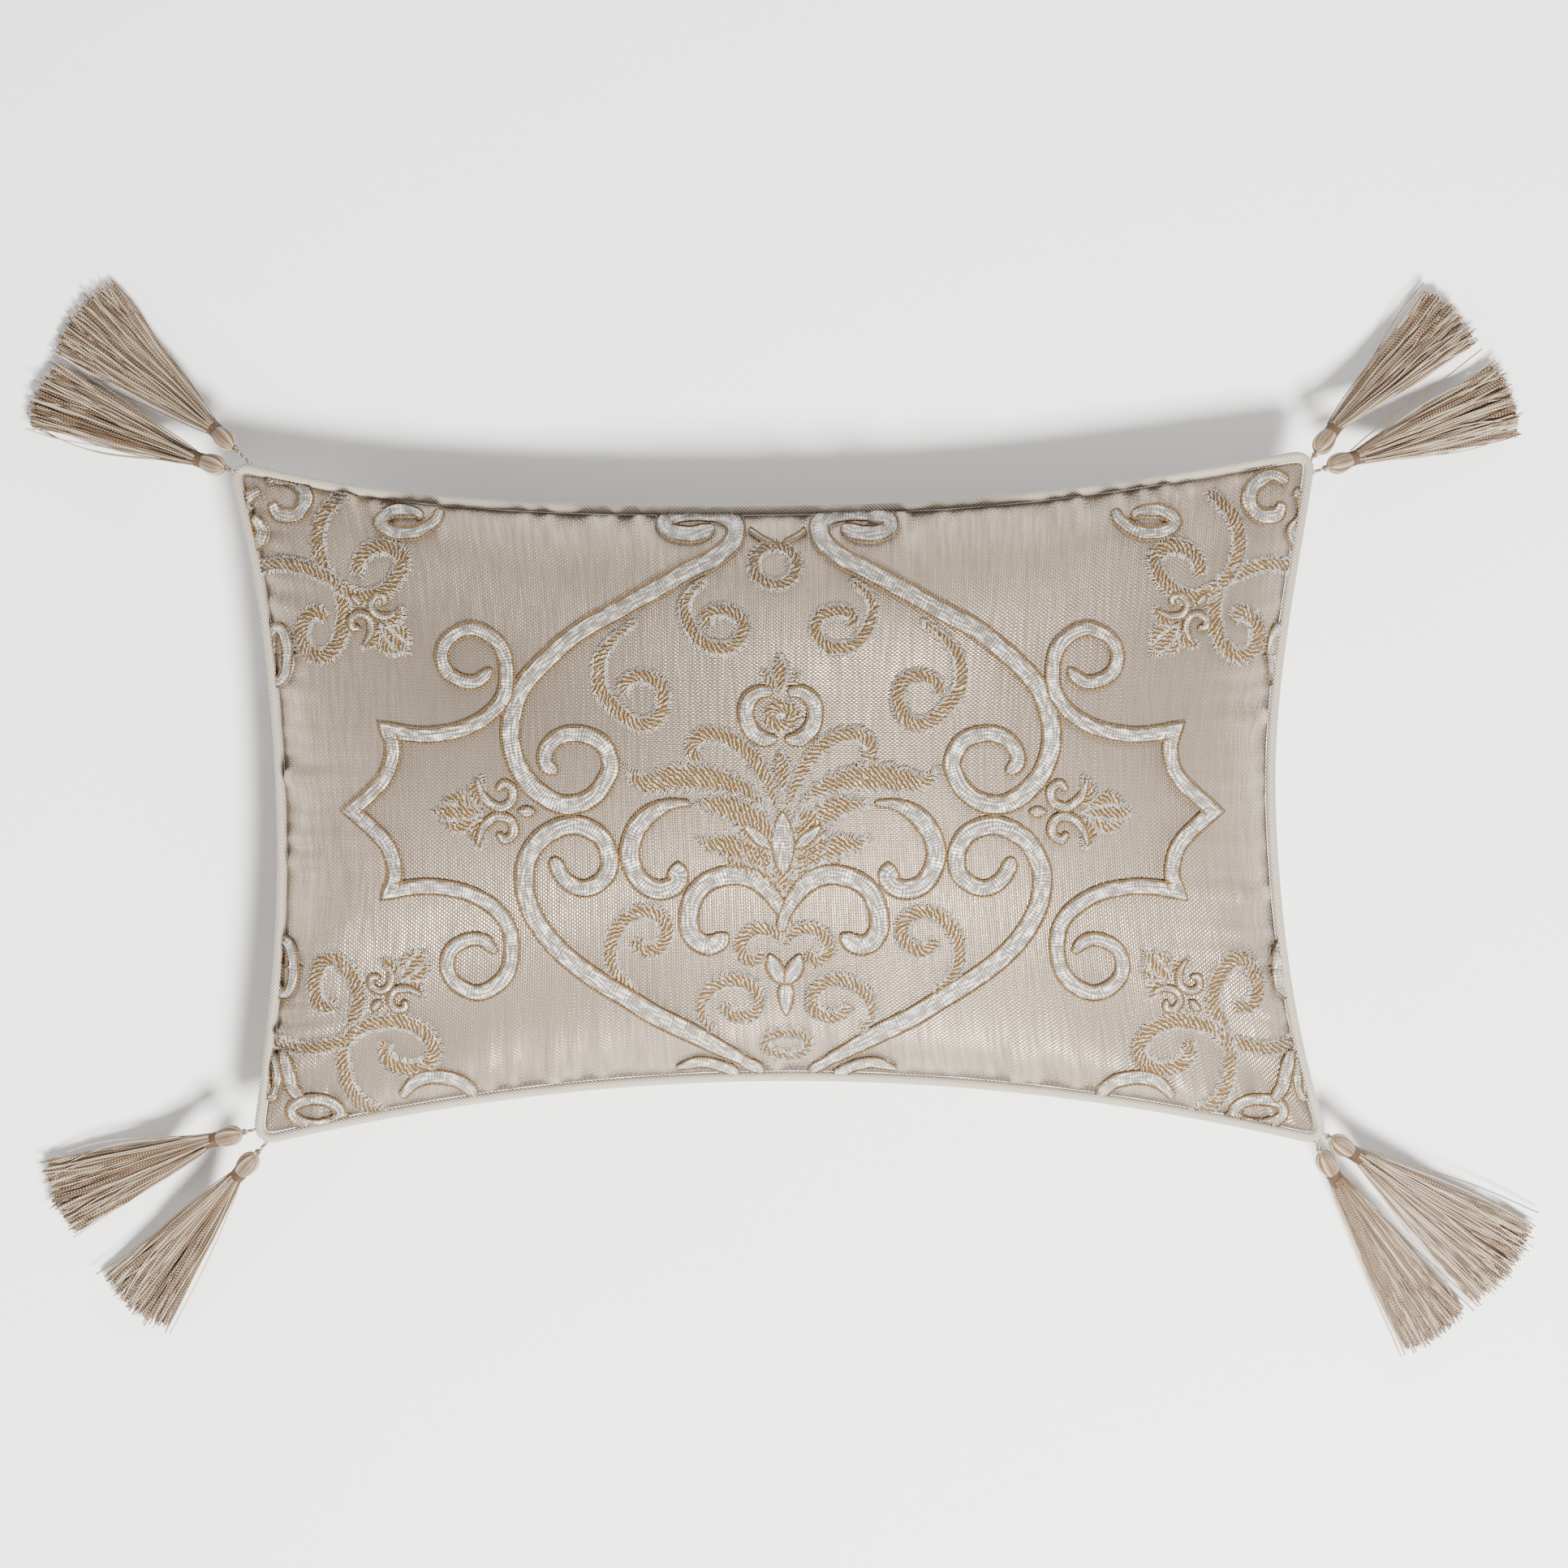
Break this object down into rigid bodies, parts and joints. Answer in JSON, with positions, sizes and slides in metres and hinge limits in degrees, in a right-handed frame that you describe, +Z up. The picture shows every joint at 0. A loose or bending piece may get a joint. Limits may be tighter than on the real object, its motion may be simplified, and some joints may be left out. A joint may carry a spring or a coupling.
{
  "type": "throw pillow",
  "caption": "Stuffed lumbar throw pillow with embroidered front, piped seam, concealed zip, removable insert and swinging corner tassels.",
  "frame": {"origin": "middle of the flat patch of the back panel that the pillow rests on", "axes": "+X along the pillow's length to its right as seen from the front, +Y to its top edge, +Z up out of the embroidered front panel"},
  "size_m": [0.7911, 0.5631, 0.14],
  "materials": {
    "face_cloth": "woven champagne cloth with satin-stitched scrollwork",
    "back_cloth": "plain woven",
    "piping": "twisted cream cord",
    "tape": "woven tape",
    "lining": "plain cotton",
    "fibre": "loose polyester fibre",
    "coil": "moulded nylon",
    "slider": "satin",
    "tassel_cord": "two-ply twisted cord",
    "tassel_wrap": "satin thread",
    "tassel_yarn": "mixed ivory and brown yarns"
  },
  "bodies": {
    "cushion": {"back_panel": "back_cloth", "fibre_fill": "fibre", "front_panel": "face_cloth", "insert_back": "lining", "insert_front": "lining", "piping_cord": "piping", "piping_lip": "tape", "zip_coil_lower": "coil", "zip_coil_upper": "coil", "zip_stop_left": "slider", "zip_stop_right": "slider", "zip_tape_lower": "tape", "zip_tape_upper": "tape"},
    "hanger_1": {"tassel_1_cord": "tassel_cord"},
    "tassel_1": {"tassel_1_head": "tassel_yarn", "tassel_1_band": "tassel_wrap", "tassel_1_skirt": "tassel_yarn"},
    "hanger_2": {"tassel_2_cord": "tassel_cord"},
    "tassel_2": {"tassel_2_head": "tassel_yarn", "tassel_2_band": "tassel_wrap", "tassel_2_skirt": "tassel_yarn"},
    "hanger_3": {"tassel_3_cord": "tassel_cord"},
    "tassel_3": {"tassel_3_head": "tassel_yarn", "tassel_3_band": "tassel_wrap", "tassel_3_skirt": "tassel_yarn"},
    "hanger_4": {"tassel_4_cord": "tassel_cord"},
    "tassel_4": {"tassel_4_head": "tassel_yarn", "tassel_4_band": "tassel_wrap", "tassel_4_skirt": "tassel_yarn"},
    "hanger_5": {"tassel_5_cord": "tassel_cord"},
    "tassel_5": {"tassel_5_head": "tassel_yarn", "tassel_5_band": "tassel_wrap", "tassel_5_skirt": "tassel_yarn"},
    "hanger_6": {"tassel_6_cord": "tassel_cord"},
    "tassel_6": {"tassel_6_head": "tassel_yarn", "tassel_6_band": "tassel_wrap", "tassel_6_skirt": "tassel_yarn"},
    "hanger_7": {"tassel_7_cord": "tassel_cord"},
    "tassel_7": {"tassel_7_head": "tassel_yarn", "tassel_7_band": "tassel_wrap", "tassel_7_skirt": "tassel_yarn"},
    "hanger_8": {"tassel_8_cord": "tassel_cord"},
    "tassel_8": {"tassel_8_head": "tassel_yarn", "tassel_8_band": "tassel_wrap", "tassel_8_skirt": "tassel_yarn"},
    "zip_slider": {"zip_slider": "slider"},
    "zip_pull": {"zip_pull": "slider"}
  },
  "joints": [
    {"name": "hanger_1_swing", "type": "hinge", "parent": "cushion", "child": "hanger_1", "pos_m": [-0.27441, 0.17335, 0.04897], "axis": [0, 0, 1], "range_deg": [-40, 0]},
    {"name": "tassel_1_lift", "type": "hinge", "parent": "hanger_1", "child": "tassel_1", "pos_m": [-0.28213, 0.18056, 0.04287], "axis": [0.682, 0.7314, 0], "range_deg": [0, 90]},
    {"name": "hanger_2_swing", "type": "hinge", "parent": "cushion", "child": "hanger_2", "pos_m": [-0.28315, 0.1693, 0.04884], "axis": [0, 0, 1], "range_deg": [0, 40]},
    {"name": "tassel_2_lift", "type": "hinge", "parent": "hanger_2", "child": "tassel_2", "pos_m": [-0.28594, 0.17025, 0.04714], "axis": [0.3256, 0.9455, 0], "range_deg": [0, 90]},
    {"name": "hanger_3_swing", "type": "hinge", "parent": "cushion", "child": "hanger_3", "pos_m": [-0.27195, -0.17095, 0.04949], "axis": [0, 0, 1], "range_deg": [-40, 0]},
    {"name": "tassel_3_lift", "type": "hinge", "parent": "hanger_3", "child": "tassel_3", "pos_m": [-0.27761, -0.17258, 0.04609], "axis": [-0.2756, 0.9613, 0], "range_deg": [0, 90]},
    {"name": "hanger_4_swing", "type": "hinge", "parent": "cushion", "child": "hanger_4", "pos_m": [-0.26584, -0.17778, 0.04933], "axis": [0, 0, 1], "range_deg": [0, 40]},
    {"name": "tassel_4_lift", "type": "hinge", "parent": "hanger_4", "child": "tassel_4", "pos_m": [-0.27065, -0.18313, 0.04518], "axis": [-0.7431, 0.6691, 0], "range_deg": [0, 90]},
    {"name": "hanger_5_swing", "type": "hinge", "parent": "cushion", "child": "hanger_5", "pos_m": [0.27637, -0.17761, 0.04825], "axis": [0, 0, 1], "range_deg": [-40, 0]},
    {"name": "tassel_5_lift", "type": "hinge", "parent": "hanger_5", "child": "tassel_5", "pos_m": [0.27878, -0.18162, 0.04555], "axis": [-0.8572, -0.515, 0], "range_deg": [0, 90]},
    {"name": "hanger_6_swing", "type": "hinge", "parent": "cushion", "child": "hanger_6", "pos_m": [0.28081, -0.17344, 0.04831], "axis": [0, 0, 1], "range_deg": [0, 40]},
    {"name": "tassel_6_lift", "type": "hinge", "parent": "hanger_6", "child": "tassel_6", "pos_m": [0.28328, -0.17505, 0.04661], "axis": [-0.5446, -0.8387, 0], "range_deg": [0, 90]},
    {"name": "hanger_7_swing", "type": "hinge", "parent": "cushion", "child": "hanger_7", "pos_m": [0.27572, 0.16874, 0.0492], "axis": [0, 0, 1], "range_deg": [-40, 0]},
    {"name": "tassel_7_lift", "type": "hinge", "parent": "hanger_7", "child": "tassel_7", "pos_m": [0.28175, 0.17093, 0.0455], "axis": [0.342, -0.9397, 0], "range_deg": [0, 90]},
    {"name": "hanger_8_swing", "type": "hinge", "parent": "cushion", "child": "hanger_8", "pos_m": [0.27439, 0.17558, 0.04874], "axis": [0, 0, 1], "range_deg": [0, 40]},
    {"name": "tassel_8_lift", "type": "hinge", "parent": "hanger_8", "child": "tassel_8", "pos_m": [0.2762, 0.1779, 0.04704], "axis": [0.788, -0.6157, 0], "range_deg": [0, 90]},
    {"name": "zip_slide", "type": "hinge", "parent": "cushion", "child": "zip_slider", "pos_m": [0.00505, -1.24887, 0.0488], "axis": [0, 0, -1], "range_deg": [0, 14.99]},
    {"name": "zip_pull_swing", "type": "hinge", "parent": "zip_slider", "child": "zip_pull", "pos_m": [-0.1396, -0.14908, 0.04679], "axis": [-0.9915, -0.1304, 0], "range_deg": [0, 130]}
  ]
}
